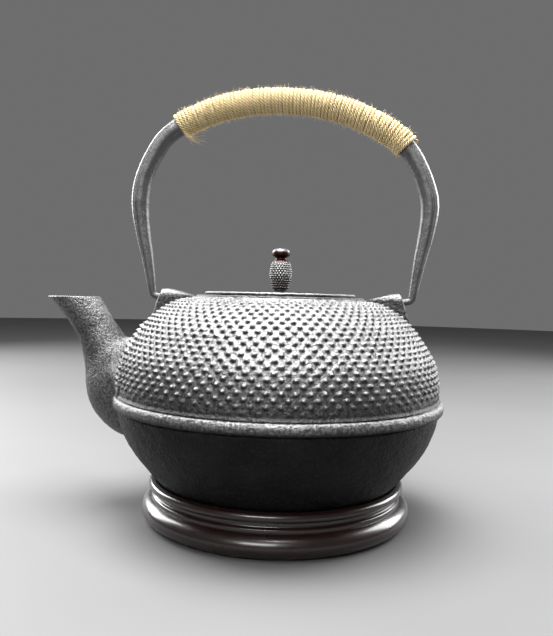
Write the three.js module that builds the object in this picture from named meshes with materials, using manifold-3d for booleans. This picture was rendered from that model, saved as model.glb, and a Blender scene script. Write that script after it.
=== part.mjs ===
// Cast iron teapot: a hobnail kettle with a bail handle, a cord-wound grip and a turned wooden stand.
// Millimetres, +Z up. The origin is the centre of the stand's underside, and the spout points along -X.

import * as THREE from 'three';
import { mergeVertices } from 'three/addons/utils/BufferGeometryUtils.js';
import Module from 'manifold-3d';

const wasm = await Module();
wasm.setup();

// ---------------------------------------------------------------- driving dimensions

const gap = 0.3; // clearance between pieces that touch
const roundSides = 40; // facets round the kettle, the lid and the stand

const stand = {
  height: 20.5,
  recessFloor: 9.2,
  footRadius: 62.6, // centre of the big bottom torus
  torusWidth: 7,
  torusHeight: 5.8,
  coveRadius: 63,
  coveTop: 15.8,
  filletRadius: 64.6, // the small square step between the torus and the cove
  filletBottom: 12,
  filletTop: 12.9,
  beadRadius: 2.2,
  lipRadius: 64,
  recessTopRadius: 62.6,
  recessFloorRadius: 48,
};

const kettle = {
  base: stand.recessFloor + gap,
  wall: 3.2,
  footRadius: 38, // inner edge of the ring that the kettle stands on
  footDepth: 1.2,
  bandRoot: 80.5, // radius at which the band is buried in the side
  bandRadius: 85,
  bandBottom: 57.9,
  bandTop: 62.9,
  seam: 56.5, // height at which the bowl ends, just under the band
  collarRadius: 43.5,
  collarTop: 114.5,
  mouthRadius: 36.6,
  ledgeRadius: 33.9,
  ledgeHeight: 110.9,
};

const spout = {
  mouthHeight: 112,
  wall: 2.8,
  throatRadius: 10.2,
  rootRadius: 19.4,
  flareRadius: 0.5, // how much the mouth is wider than the throat
  bulbRadius: 21.9, // the round heel where the spout leaves the body
  bulbX: -80.2,
  bulbZ: 64,
  throatAt: 0.6, // share of the spout's length at which it is narrowest
  taper: 1.15,
};

const lug = {
  halfWidth: 8.2,
  cornerRadius: 4,
  top: 117.2,
  topX: 62.3, // outer edge of the crest
  lean: 0.31, // how far the outer face leans out for each millimetre down
  crestLength: 3,
  innerX: 45.5,
  innerTop: 113.6,
  boreEndX: 57,
  boreRadius: 2.5,
};

const hinge = { height: 112.9 };

const bail = {
  apex: 216.3,
  gripRadius: 4.7,
  hookRadius: 1.75,
  widest: 163, // height above which the bar keeps its full radius
  shoulderTilt: 0.03, // the hand-bent arch stands a little higher over the spout
};

const cord = { thickness: 2.1, startX: -56, endX: 64.5 };

const lid = {
  radius: 39.3,
  underside: kettle.collarTop + gap,
  edgeTop: 116.3,
  crown: 116.9,
  spigotOuter: 31.2,
  spigotInner: 28.6,
  spigotBottom: 110.4,
  plateUnderside: 114.4,
  studHole: 2.3,
  ventRadius: 1.5,
  ventX: 20,
};

const knob = {
  base: lid.crown + gap,
  height: 22.6,
  footRadius: 4,
  bodyRadius: 5.8,
  bodyHeight: 8.2, // where the body is widest, above the knob's base
  shoulderRadius: 4.3,
  shoulderHeight: 15.4,
  neckRadius: 3,
  neckHeight: 17.1,
  capRadius: 4.7,
  capHeight: 19.4, // where the cap is widest
  studRadius: 1.9,
  studTip: 0.8, // how far the stud passes the nut
};

const fixing = {
  washerRadius: 5.2,
  washerThickness: 0.9,
  nutRadius: 3.9,
  nutThickness: 2,
  studHole: 2.3,
};

const infuser = {
  radius: 33,
  wall: 0.8,
  flangeRadius: 36.1,
  flangeThickness: 0.9,
  bottom: 62,
  floorRise: 0.6, // height of the floor above the sleeve's lower edge
};

// ---------------------------------------------------------------- materials

const castIron = new THREE.MeshStandardMaterial({ color: 0x3a3b3c, roughness: 0.62, metalness: 0.6 });
const barIron = new THREE.MeshStandardMaterial({ color: 0x4a4b4c, roughness: 0.5, metalness: 0.6 });
const knobIron = new THREE.MeshStandardMaterial({ color: 0x38302e, roughness: 0.5, metalness: 0.5 });
const jute = new THREE.MeshStandardMaterial({ color: 0xc2a368, roughness: 0.95, metalness: 0 });
const steel = new THREE.MeshStandardMaterial({ color: 0xb4b6b8, roughness: 0.32, metalness: 1 });
const lacquer = new THREE.MeshStandardMaterial({ color: 0x2a1714, roughness: 0.25, metalness: 0 });

// ---------------------------------------------------------------- solids and meshes

const v2 = (x, y) => new THREE.Vector2(x, y);
const v3 = (x, y, z) => new THREE.Vector3(x, y, z);

/** Turns a closed geometry into a solid: shared corners merged, collapsed triangles dropped. */
function toSolid(geometry) {
  const bare = geometry.clone();
  bare.deleteAttribute('normal');
  bare.deleteAttribute('uv');
  const merged = mergeVertices(bare, 1e-4);
  const corners = merged.index.array;
  const kept = [];
  for (let i = 0; i < corners.length; i += 3) {
    const [a, b, c] = corners.slice(i, i + 3);
    if (a !== b && b !== c && c !== a) kept.push(a, b, c);
  }
  const vertProperties = new Float32Array(merged.attributes.position.array);
  const triVerts = new Uint32Array(kept);
  return new wasm.Manifold(new wasm.Mesh({ numProp: 3, vertProperties, triVerts }));
}

function toGeometry(solid) {
  const mesh = solid.getMesh();
  const geometry = new THREE.BufferGeometry();
  geometry.setAttribute('position', new THREE.BufferAttribute(new Float32Array(mesh.vertProperties), 3));
  geometry.setIndex(new THREE.BufferAttribute(new Uint32Array(mesh.triVerts), 1));
  geometry.computeVertexNormals();
  return geometry;
}

const group = new THREE.Group();

function addPiece(parent, name, solid, material) {
  const mesh = new THREE.Mesh(toGeometry(solid), material);
  mesh.name = name;
  parent.add(mesh);
}

/** Revolves an outline of (radius, height) points about Z. */
function turned(points, sides = roundSides) {
  return toSolid(new THREE.LatheGeometry(points, sides).rotateX(Math.PI / 2));
}

/** A flat-ended ring between two radii and two heights. */
function ring(inner, outer, bottom, top, sides = roundSides) {
  const corners = [v2(inner, bottom), v2(outer, bottom), v2(outer, top), v2(inner, top), v2(inner, bottom)];
  return turned(corners, sides);
}

function disc(radius, bottom, top, sides = roundSides) {
  return turned([v2(0, bottom), v2(radius, bottom), v2(radius, top), v2(0, top)], sides);
}

function box(low, high) {
  const size = high.clone().sub(low);
  const middle = high.clone().add(low).multiplyScalar(0.5);
  return toSolid(new THREE.BoxGeometry(size.x, size.y, size.z).translate(middle.x, middle.y, middle.z));
}

/** Bends a cylinder along a curve that lies in the XZ plane; radiusAt gives its radius at each place. */
function bentCylinder(curve, radiusAt, sides, steps) {
  const geometry = new THREE.CylinderGeometry(1, 1, 1, sides, steps);
  const position = geometry.attributes.position;
  const across = v3(0, 1, 0);
  for (let i = 0; i < position.count; i += 1) {
    const t = position.getY(i) + 0.5;
    const centre = curve.getPointAt(t);
    const outward = curve.getTangentAt(t).cross(across).normalize();
    const radius = radiusAt(t, centre);
    const point = centre
      .addScaledVector(outward, position.getX(i) * radius)
      .addScaledVector(across, position.getZ(i) * radius);
    position.setXYZ(i, point.x, point.y, point.z);
  }
  return toSolid(geometry);
}

/** Moves each point of an outline by a distance along its normal, to the left of its direction. */
function offsetOutline(points, distance) {
  return points.map((point, i) => {
    const before = points[Math.max(i - 1, 0)];
    const after = points[Math.min(i + 1, points.length - 1)];
    const along = after.clone().sub(before).normalize();
    return v2(point.x - along.y * distance, point.y + along.x * distance);
  });
}

// ---------------------------------------------------------------- wooden stand

function makeStand() {
  const quarter = Math.PI / 2;
  const outline = new THREE.Path();
  outline.moveTo(0, 0);
  outline.lineTo(stand.footRadius, 0);
  outline.absellipse(
    stand.footRadius, stand.torusHeight, stand.torusWidth, stand.torusHeight, -quarter, quarter * 0.8);
  outline.lineTo(stand.filletRadius, stand.filletBottom);
  outline.lineTo(stand.filletRadius, stand.filletTop);
  outline.lineTo(stand.coveRadius, stand.filletTop + 0.7);
  outline.lineTo(stand.coveRadius, stand.coveTop);
  outline.absarc(stand.lipRadius, stand.coveTop + stand.beadRadius, stand.beadRadius, -quarter, quarter);
  outline.lineTo(stand.lipRadius, stand.height);
  outline.lineTo(stand.recessTopRadius, stand.height);
  outline.quadraticCurveTo(
    stand.recessTopRadius - 5, stand.recessFloor + 3.5, stand.recessFloorRadius, stand.recessFloor);
  outline.lineTo(0, stand.recessFloor);
  return turned(outline.getPoints(4));
}

// ---------------------------------------------------------------- kettle casting

/** The kettle's outer side, from the edge of its flat base up to the foot of the mouth collar. */
function kettleSide(divisions) {
  const knots = [
    v2(45, kettle.base), v2(55.5, 14.4), v2(64.6, 23.4), v2(77.2, 40), v2(82.7, 55.5), v2(83.6, 66),
    v2(81.1, 81), v2(74.8, 92.4), v2(66.6, 103.3), v2(55.6, 111.1), v2(45.5, 113.4),
  ];
  return new THREE.SplineCurve(knots).getSpacedPoints(divisions);
}

/** The whole volume within the kettle's outer side, grown by a distance. */
function makeKettleVolume(grown = 0) {
  const side = offsetOutline(kettleSide(18), -grown);
  const foot = kettle.base + kettle.footDepth - grown;
  return turned([
    v2(0, foot), v2(kettle.footRadius - 2, foot), v2(kettle.footRadius, side[0].y), ...side,
    v2(kettle.collarRadius + grown, kettle.collarTop + grown), v2(0, kettle.collarTop + grown),
  ]);
}

function makeKettleCavity() {
  const side = offsetOutline(kettleSide(13), kettle.wall);
  const above = kettle.collarTop + 2;
  return turned([
    v2(0, side[0].y), ...side, v2(kettle.ledgeRadius, side[side.length - 1].y - 0.8),
    v2(kettle.ledgeRadius, kettle.ledgeHeight), v2(kettle.mouthRadius, kettle.ledgeHeight),
    v2(kettle.mouthRadius, above), v2(0, above),
  ]);
}

function makeBand(grown = 0) {
  const radius = kettle.bandRadius + grown;
  const bottom = kettle.bandBottom - grown;
  const top = kettle.bandTop + grown;
  return turned([
    v2(kettle.bandRoot, bottom - 0.9), v2(radius - 0.7, bottom), v2(radius, bottom + 1),
    v2(radius, top - 1.6), v2(radius - 0.8, top), v2(kettle.bandRoot, top + 1),
    v2(kettle.bandRoot, bottom - 0.9),
  ]);
}

/** The casting's thin turned part, open at its mouth and at the root of the spout. */
function makeKettleWall() {
  return makeKettleVolume().add(makeBand()).subtract(makeKettleCavity()).subtract(makeSpoutChannel());
}

const spoutLine = new THREE.CatmullRomCurve3([
  v3(-74, 0, 56), v3(-84, 0, 67), v3(-90.8, 0, 77.5), v3(-95.6, 0, 87.7),
  v3(-100.1, 0, 96.1), v3(-105.6, 0, 104.6), v3(-111.7, 0, 112), v3(-118, 0, 119.4),
]);

/** The spout narrows from its root to its throat, then flares a little towards its mouth. */
function spoutRadius(t) {
  const below = Math.max(0, 1 - t / spout.throatAt);
  const root = (spout.rootRadius - spout.throatRadius) * Math.pow(below, spout.taper);
  const flare = spout.flareRadius * Math.max(0, (t - spout.throatAt) / (1 - spout.throatAt));
  return spout.throatRadius + root + flare;
}

function makeSpout() {
  const tube = bentCylinder(spoutLine, spoutRadius, 20, 14);
  const bulb = toSolid(
    new THREE.SphereGeometry(spout.bulbRadius, 20, 12).rotateX(Math.PI / 2)
      .translate(spout.bulbX, 0, spout.bulbZ));
  const aside = 2 * spout.rootRadius; // well clear of the tube on both sides of its mouth
  const mouthX = spoutLine.points[spoutLine.points.length - 1].x;
  const above = box(
    v3(mouthX - aside, -aside, spout.mouthHeight), v3(mouthX + aside, aside, spout.mouthHeight + aside));
  const outside = tube.add(bulb).subtract(above);
  return outside.subtract(makeKettleVolume(gap)).subtract(makeBand(gap)).subtract(makeSpoutChannel());
}

function makeSpoutChannel() {
  return bentCylinder(spoutLine, (t) => spoutRadius(t) - spout.wall, 16, 10);
}

/** A lug is a block with a round-cornered face, cut to a wedge that slopes down towards the mouth. */
function makeLug() {
  const buried = 15; // how far the block reaches down into the shoulder
  const depth = 40; // long enough to pass both ends of the wedge
  const bottom = lug.top - buried;
  const round = lug.cornerRadius;
  const face = new THREE.Shape();
  face.moveTo(-lug.halfWidth, bottom);
  face.lineTo(lug.halfWidth, bottom);
  face.absarc(lug.halfWidth - round, lug.top - round, round, 0, Math.PI / 2);
  face.absarc(-lug.halfWidth + round, lug.top - round, round, Math.PI / 2, Math.PI);
  const block = toSolid(
    new THREE.ExtrudeGeometry(face, { depth, bevelEnabled: false, curveSegments: 4 })
      .rotateX(Math.PI / 2).rotateZ(Math.PI / 2).translate(lug.innerX - depth / 4, 0, 0));

  const wedge = new THREE.Shape([
    v2(lug.innerX, bottom), v2(lug.innerX, lug.innerTop), v2(lug.topX - lug.crestLength, lug.top + 0.01),
    v2(lug.topX, lug.top + 0.01), v2(lug.topX + lug.lean * buried, bottom),
  ]);
  const slice = toSolid(
    new THREE.ExtrudeGeometry(wedge, { depth: 4 * lug.halfWidth, bevelEnabled: false })
      .rotateX(Math.PI / 2).translate(0, 2 * lug.halfWidth, 0));
  return block.intersect(slice).subtract(makeKettleVolume(gap)).subtract(makeLugBore());
}

function makeLugBore() {
  const length = 20; // past the lug's outer face
  return toSolid(
    new THREE.CylinderGeometry(lug.boreRadius, lug.boreRadius, length, 14).rotateZ(Math.PI / 2)
      .translate(lug.boreEndX + length / 2, 0, hinge.height));
}

// ---------------------------------------------------------------- lid, knob and fixing

function makeLid() {
  const plate = turned([
    v2(0, lid.plateUnderside), v2(lid.spigotInner, lid.plateUnderside),
    v2(lid.spigotInner + 0.4, lid.spigotBottom), v2(lid.spigotOuter, lid.spigotBottom),
    v2(lid.spigotOuter, lid.underside), v2(lid.radius - 0.5, lid.underside),
    v2(lid.radius, lid.underside + 0.6), v2(lid.radius, lid.edgeTop - 0.6),
    v2(lid.radius - 0.7, lid.edgeTop), v2(lid.radius / 2, lid.crown - 0.1), v2(0, lid.crown),
  ]);
  const studHole = disc(lid.studHole, lid.plateUnderside - 1, lid.crown + 1, 16);
  const vent = disc(lid.ventRadius, lid.plateUnderside - 1, lid.crown + 1, 12).translate([lid.ventX, 0, 0]);
  return plate.subtract(studHole).subtract(vent);
}

function makeKnob() {
  const nutBottom = lid.plateUnderside - 2 * gap - fixing.washerThickness - fixing.nutThickness;
  const studBottom = nutBottom - knob.studTip;
  const profile = new THREE.SplineCurve([
    v2(knob.footRadius, 0.8), v2(knob.footRadius + 0.2, 2.2), v2(knob.bodyRadius, knob.bodyHeight),
    v2(knob.shoulderRadius, knob.shoulderHeight), v2(knob.neckRadius, knob.neckHeight),
    v2(knob.capRadius, knob.capHeight), v2(knob.capRadius - 0.8, knob.height - 0.8),
    v2(knob.neckRadius - 1, knob.height - 0.05),
  ]);
  const side = profile.getSpacedPoints(17).map((point) => v2(point.x, point.y + knob.base));
  return turned([
    v2(0, studBottom), v2(knob.studRadius, studBottom), v2(knob.studRadius, knob.base),
    v2(knob.footRadius, knob.base), ...side, v2(0, knob.base + knob.height),
  ], 20);
}

function makeWasher() {
  const top = lid.plateUnderside - gap;
  return ring(fixing.studHole, fixing.washerRadius, top - fixing.washerThickness, top, 20);
}

function makeNut() {
  const top = lid.plateUnderside - gap - fixing.washerThickness - gap;
  const hexagon = disc(fixing.nutRadius, top - fixing.nutThickness, top, 6);
  return hexagon.subtract(disc(fixing.studHole, top - 5, top + 1, 16));
}

// ---------------------------------------------------------------- infuser basket

function makeInfuserRim() {
  const bottom = kettle.ledgeHeight + gap;
  return ring(infuser.radius + gap, infuser.flangeRadius, bottom, bottom + infuser.flangeThickness);
}

function makeInfuserSleeve() {
  const top = kettle.ledgeHeight + gap + infuser.flangeThickness;
  return ring(infuser.radius - infuser.wall, infuser.radius, infuser.bottom, top);
}

function makeInfuserFloor() {
  const radius = infuser.radius - infuser.wall - 2 * gap;
  const underside = infuser.bottom + infuser.floorRise;
  return disc(radius, underside, underside + infuser.wall);
}

// ---------------------------------------------------------------- bail handle and its cord

/** The bail's centre line: a pin in each lug, arms that swell outwards, and an arch between them. */
function bailLine() {
  const arm = [
    [58.6, hinge.height], [64.6, hinge.height], [67.9, 113.9], [69, 117.3], [70.1, 124], [72, 135],
    [74.6, 148], [76.1, 162], [74.9, 171.5], [70.6, 183], [61.4, 196.8], [41, 208.6], [21, 214.5],
  ];
  const place = ([x, z], side) => {
    const tilt = z > bail.widest ? bail.shoulderTilt : 0;
    return v3(side * x, 0, z - side * x * tilt);
  };
  const left = arm.map((point) => place(point, -1));
  const right = arm.map((point) => place(point, 1)).reverse();
  return new THREE.CatmullRomCurve3([...left, v3(0, 0, bail.apex), ...right]);
}

function bailRadius(t, point) {
  const rise = THREE.MathUtils.clamp((point.z - hinge.height) / (bail.widest - hinge.height), 0, 1);
  return THREE.MathUtils.lerp(bail.hookRadius, bail.gripRadius, Math.pow(rise, 0.85));
}

/** The place along the arch of the curve, from 0 to 1, where it passes a given X. */
function whereAtX(curve, x) {
  let low = 0.2;
  let high = 0.8;
  for (let i = 0; i < 30; i += 1) {
    const middle = (low + high) / 2;
    if (curve.getPointAt(middle).x < x) low = middle;
    else high = middle;
  }
  return (low + high) / 2;
}

/** The cord's turns as one sleeve round the grip, with its bore clear of the bar. */
function makeCord(line) {
  const sides = 12;
  const steps = 20;
  const from = whereAtX(line, cord.startX);
  const to = whereAtX(line, cord.endX);
  const route = [];
  for (let i = 0; i <= steps; i += 1) route.push(line.getPointAt(from + ((to - from) * i) / steps));
  const core = new THREE.CatmullRomCurve3(route);
  const boreRadius = (bail.gripRadius + gap) / Math.cos(Math.PI / sides);
  const outside = bentCylinder(core, () => bail.gripRadius + gap + cord.thickness, sides, steps);
  const longer = new THREE.CatmullRomCurve3([
    route[0].clone().addScaledVector(core.getTangentAt(0), -2), ...route,
    route[steps].clone().addScaledVector(core.getTangentAt(1), 2),
  ]);
  return outside.subtract(bentCylinder(longer, () => boreRadius, sides, steps + 2));
}

// ---------------------------------------------------------------- assembly

const line = bailLine();

addPiece(group, 'stand', makeStand(), lacquer);
const kettleWall = makeKettleWall();
addPiece(group, 'kettle_bowl', kettleWall.trimByPlane([0, 0, -1], -kettle.seam), castIron);
addPiece(group, 'kettle_shoulder', kettleWall.trimByPlane([0, 0, 1], kettle.seam + gap), castIron);
addPiece(group, 'kettle_spout', makeSpout(), castIron);
addPiece(group, 'lug_far', makeLug(), castIron);
addPiece(group, 'lug_spout_side', makeLug().rotate([0, 0, 180]), castIron);

const lidGroup = new THREE.Group();
addPiece(lidGroup, 'lid', makeLid(), castIron);
addPiece(lidGroup, 'lid_knob', makeKnob(), knobIron);
addPiece(lidGroup, 'knob_washer', makeWasher(), steel);
addPiece(lidGroup, 'knob_nut', makeNut(), steel);

const infuserGroup = new THREE.Group();
addPiece(infuserGroup, 'infuser_rim', makeInfuserRim(), steel);
addPiece(infuserGroup, 'infuser_sleeve', makeInfuserSleeve(), steel);
addPiece(infuserGroup, 'infuser_floor', makeInfuserFloor(), steel);

const bailGroup = new THREE.Group();
addPiece(bailGroup, 'bail_handle', bentCylinder(line, bailRadius, 12, 66), barIron);
addPiece(bailGroup, 'grip_cord', makeCord(line), jute);

group.add(lidGroup, infuserGroup, bailGroup);

export default group;
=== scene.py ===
"""Cast iron teapot with a hobnail shoulder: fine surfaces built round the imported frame."""

import math

import bmesh
import bpy
import numpy as np
from mathutils import Matrix, Vector
from mathutils.geometry import delaunay_2d_cdt


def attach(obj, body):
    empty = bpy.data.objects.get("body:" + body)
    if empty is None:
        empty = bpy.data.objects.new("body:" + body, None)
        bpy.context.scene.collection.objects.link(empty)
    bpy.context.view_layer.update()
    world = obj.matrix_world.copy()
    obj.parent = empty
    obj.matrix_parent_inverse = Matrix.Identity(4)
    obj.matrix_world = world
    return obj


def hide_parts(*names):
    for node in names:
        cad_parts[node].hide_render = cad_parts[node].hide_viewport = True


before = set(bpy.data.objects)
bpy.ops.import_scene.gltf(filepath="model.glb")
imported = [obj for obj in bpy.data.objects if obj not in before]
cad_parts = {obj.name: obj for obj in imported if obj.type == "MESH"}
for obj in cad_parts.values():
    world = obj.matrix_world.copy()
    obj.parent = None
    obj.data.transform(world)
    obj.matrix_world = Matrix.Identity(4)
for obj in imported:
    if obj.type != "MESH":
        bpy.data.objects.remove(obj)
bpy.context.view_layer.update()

MM = 0.001
TAU = 2 * math.pi
norm = np.linalg.norm

# ---- dimensions, in millimetres

HINGE_Z = 112.9
KETTLE_BASE = 9.5
KETTLE_SIDE = [
    (45, 9.5), (55.5, 14.4), (64.6, 23.4), (77.2, 40), (82.7, 55.5), (83.6, 66),
    (81.1, 81), (74.8, 92.4), (66.6, 103.3), (55.6, 111.1), (45.5, 113.4),
]
KETTLE_WALL = 3.2
COLLAR_RADIUS, COLLAR_TOP = 43.5, 114.5
MOUTH_RADIUS = 36.6
LEDGE_RADIUS, LEDGE_Z = 33.9, 110.9
BAND_RADIUS, BAND_BOTTOM, BAND_TOP = 85.0, 57.9, 62.9

NAILS_ROUND, NAIL_ROWS = 84, 23
NAIL_ROW_PITCH = 2.81
NAIL_TOP_RUN = 3.45  # from the mouth down to the first row
NAIL_PHASE = 131.3 / 360  # turns the rows, in pitches
NAIL_HEIGHT = 1.3
NAIL_SINK = 0.95  # how far the ground between the hobnails lies inside the plain side
NAIL_FULL_SPACING = 4.2  # hobnails this far apart are NAIL_HEIGHT high, and closer ones are lower
COLUMNS_PER_NAIL = 10
BOWL_STEP, SHOULDER_STEP = 0.9, 0.44

SPOUT_LINE = [
    (-74, 0, 56), (-84, 0, 67), (-90.8, 0, 77.5), (-95.6, 0, 87.7),
    (-100.1, 0, 96.1), (-105.6, 0, 104.6), (-111.7, 0, 112), (-118, 0, 119.4),
]
SPOUT_MOUTH_Z = 112.0
SPOUT_WALL = 2.8
SPOUT_BURIED = 16.0  # how far the spout's solid starts inside the body
SPOUT_THROAT, SPOUT_ROOT, SPOUT_FLARE, SPOUT_THROAT_AT = 10.2, 19.4, 0.5, 0.6
BULB_RADIUS, BULB_X, BULB_Z = 21.9, -80.2, 64.0
ROOT_BLEND, UNDER_BLEND, BULB_BLEND = 10.0, 1.2, 7.0
SKIN_GAP = 0.05  # keeps the skins of body and spout apart where they run together

LUG_HALF_WIDTH, LUG_TOP, LUG_TOP_X, LUG_LEAN = 8.2, 117.2, 62.3, 0.31
LUG_CREST, LUG_INNER_X, LUG_INNER_TOP, LUG_ROUND = 3.0, 45.5, 113.6, 4.0
LUG_BORE_RADIUS, LUG_BORE_END = 2.5, 57.0

BAIL_ARM = [
    (58.6, HINGE_Z), (64.6, HINGE_Z), (67.9, 113.9), (69, 117.3), (70.1, 124), (72, 135),
    (74.6, 148), (76.1, 162), (74.9, 171.5), (70.6, 183), (61.4, 196.8), (41, 208.6), (21, 214.5),
]
BAIL_APEX, BAIL_WIDEST, BAIL_TILT = 216.3, 163.0, 0.03
BAIL_RADIUS, HOOK_RADIUS = 4.7, 1.75

CORD_START_X, CORD_END_X = -56.0, 64.5
CORD_RADIUS, CORD_TURNS, CORD_TWIST = 1.0, 67, 4.6
PLY_OFFSET, PLY_RADIUS = 0.53, 0.52

LID_RADIUS, LID_UNDERSIDE, LID_EDGE_TOP, LID_CROWN = 39.3, 114.8, 116.3, 116.9
LID_PLATE_UNDERSIDE, SPIGOT_OUTER, SPIGOT_INNER, SPIGOT_BOTTOM = 114.4, 31.2, 28.6, 110.4
STUD_HOLE, VENT_RADIUS, VENT_X = 2.3, 1.5, 20.0

KNOB_BASE = 117.2
BEAD_ROW_PITCH, BEAD_ROWS, BEADS_ROUND = 1.2, 12, 21

NUT_HEIGHT, NUT_CORNER = 2.0, 3.9
THREAD_DEPTH, THREAD_RINGS = 0.08, 22

INFUSER_RADIUS, INFUSER_WALL, INFUSER_BOTTOM = 33.0, 0.8, 62.0
FLANGE_OUTER, FLANGE_BOTTOM, FLANGE_THICKNESS = 36.1, 111.2, 0.9
HOLE_RADIUS = 0.78

STAND_TORUS_X, STAND_TORUS_REACH, STAND_TORUS_Z = 62.6, 7, 5.8
STAND_BEAD_X, STAND_BEAD_Z, STAND_BEAD_RADIUS = 64, 18, 2.2
STAND_TOP, STAND_RECESS_Z = 20.5, 9.2

# ---- small mathematics


def smoothstep(low, high, x):
    t = np.clip((np.asarray(x, float) - low) / (high - low), 0, 1)
    return t * t * (3 - 2 * t)


def bell(angle, middle, width):
    """A smooth hump round one direction of a full turn."""
    return np.exp(-(((angle - middle + math.pi) % TAU - math.pi) / width) ** 2)


def from_axis(points):
    return np.hypot(points[:, 0], points[:, 1])


def unit(rows):
    return rows / norm(rows, axis=1, keepdims=True)


def headings(points):
    return unit(np.gradient(points, axis=0))


def spline(knots, steps=60, power=0.5):
    """Samples a Catmull-Rom curve through the knots; power 0.5 is centripetal and 0 is uniform."""
    knots = np.asarray(knots, float)
    padded = np.vstack([2 * knots[0] - knots[1], knots, 2 * knots[-1] - knots[-2]])
    points = []
    for a, b, c, d in zip(padded, padded[1:], padded[2:], padded[3:]):
        t0, t1, t2 = (max(norm(q - p) ** power, 1e-6) for p, q in ((a, b), (b, c), (c, d)))
        start = ((b - a) / t0 - (c - a) / (t0 + t1) + (c - b) / t1) * t1
        end = ((c - b) / t1 - (d - b) / (t1 + t2) + (d - c) / t2) * t1
        t = np.linspace(0, 1, steps, endpoint=False)[:, None]
        square, cube = -3 * b + 3 * c - 2 * start - end, 2 * b - 2 * c + start + end
        points.append(b + start * t + square * t**2 + cube * t**3)
    return np.vstack([*points, knots[-1:]])


def lengths(points):
    return np.r_[0, np.cumsum(norm(np.diff(points, axis=0), axis=1))]


def pick(at, run, rows):
    """Reads each column of rows, which are known at run, at other places."""
    return np.column_stack([np.interp(at, run, column) for column in rows.T])


def resample(points, count):
    """Places count points at equal distances along a polyline."""
    points = np.asarray(points, float)
    run = lengths(points)
    return pick(np.linspace(0, run[-1], count), run, points)


def rounded(points, radius, steps=4):
    """Rounds the inner corners of a polyline."""
    points = [np.asarray(p, float) for p in points]
    out = [points[0]]
    for before, corner, after in zip(points, points[1:], points[2:]):
        back, ahead = before - corner, after - corner
        reach = min(radius, norm(back) * 0.45, norm(ahead) * 0.45)
        a = corner + back / norm(back) * reach
        b = corner + ahead / norm(ahead) * reach
        for t in np.linspace(0, 1, steps + 1):
            out.append((1 - t) ** 2 * a + 2 * t * (1 - t) * corner + t * t * b)
    return np.array([*out, points[-1]])


LATTICE = np.random.RandomState(7).rand(32, 32, 32)


def noise3(points, cell):
    """Smooth value noise from -1 to 1 with the given cell size."""
    scaled = np.asarray(points) / cell
    low = np.floor(scaled).astype(int)
    part = scaled - low
    part = part * part * (3 - 2 * part)
    total = np.zeros(len(scaled))
    for corner in range(8):
        step = np.array([corner & 1, corner >> 1 & 1, corner >> 2 & 1])
        index = (low + step) % 32
        weight = np.prod(np.where(step, part, 1 - part), axis=1)
        total += weight * LATTICE[index[:, 0], index[:, 1], index[:, 2]]
    return total * 2 - 1


def smooth_min(a, b, k):
    h = np.clip(k - np.abs(a - b), 0, None) / k
    return np.minimum(a, b) - h * h * k / 4


# ---- meshes and objects


def add_object(name, data):
    item = bpy.data.objects.new(name, data)
    bpy.context.scene.collection.objects.link(item)
    return item


def make_object(name, vertices, faces):
    """A smooth mesh object from millimetre vertices and quad or polygon faces."""
    mesh = bpy.data.meshes.new(name)
    mesh.from_pydata((np.asarray(vertices) * MM).tolist(), [], [tuple(f) for f in faces])
    mesh.validate()
    mesh.update()
    mesh.shade_smooth()
    return add_object(name, mesh)


def make_closed(name, vertices, faces, degrees=None):
    """A closed mesh with its faces turned outward, and crisp edges if degrees says how steep they are."""
    item = make_object(name, vertices, faces)
    work = bmesh.new()
    work.from_mesh(item.data)
    bmesh.ops.recalc_face_normals(work, faces=work.faces)
    work.to_mesh(item.data)
    work.free()
    if degrees:
        sharpen(item, degrees)
    return item


def grid_faces(rows, columns, start=0):
    """Quads between rings of vertices."""
    i, j = np.meshgrid(np.arange(rows - 1), np.arange(columns), indexing="ij")
    after = (j + 1) % columns
    low, high = start + i * columns, start + (i + 1) * columns
    return np.stack([low + j, low + after, high + after, high + j], axis=-1).reshape(-1, 4).tolist()


def looped_faces(rows, columns):
    """Rings of vertices whose last ring joins the first."""
    j = np.arange(columns)
    after = (j + 1) % columns
    top = (rows - 1) * columns
    return grid_faces(rows, columns) + np.column_stack([top + j, top + after, after, j]).tolist()


def capped_faces(rows, columns, start=0):
    """Rings of vertices with a polygon over each end."""
    first = [start + k for k in range(columns)]
    last = [k + (rows - 1) * columns for k in first]
    return [*grid_faces(rows, columns, start), first[::-1], last]


def revolve(profile, columns):
    """Revolves (radius, height) points; radius zero at both ends makes poles, otherwise the profile loops."""
    profile = np.asarray(profile, float)
    looped = profile[0, 0] > 1e-6
    body = profile if looped else profile[1:-1]
    angle = np.arange(columns) * TAU / columns
    radius, z = body[:, :1], np.repeat(body[:, 1:], columns, axis=1)
    vertices = np.stack([radius * np.cos(angle), radius * np.sin(angle), z], axis=-1).reshape(-1, 3)
    rows = len(body)
    if looped:
        return vertices, looped_faces(rows, columns)
    first, last = len(vertices), len(vertices) + 1
    j = np.arange(columns)
    after = (j + 1) % columns
    top = (rows - 1) * columns
    faces = grid_faces(rows, columns)
    faces += np.column_stack([after, j, np.full(columns, first)]).tolist()
    faces += np.column_stack([top + j, top + after, np.full(columns, last)]).tolist()
    return np.vstack([vertices, [(0, 0, profile[0, 1]), (0, 0, profile[-1, 1])]]), faces


def tube(centres, normals, binormals, radii, sides, start=0):
    """Rings of vertices round a path, with capped ends; returns vertices and faces."""
    angle = np.arange(sides) * TAU / sides
    radii = np.broadcast_to(np.asarray(radii, float).reshape(len(centres), -1), (len(centres), sides))
    first = normals[:, None] * (np.cos(angle) * radii)[..., None]
    second = binormals[:, None] * (np.sin(angle) * radii)[..., None]
    vertices = (centres[:, None] + (first + second)).reshape(-1, 3)
    return vertices, capped_faces(len(centres), sides, start)


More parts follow.
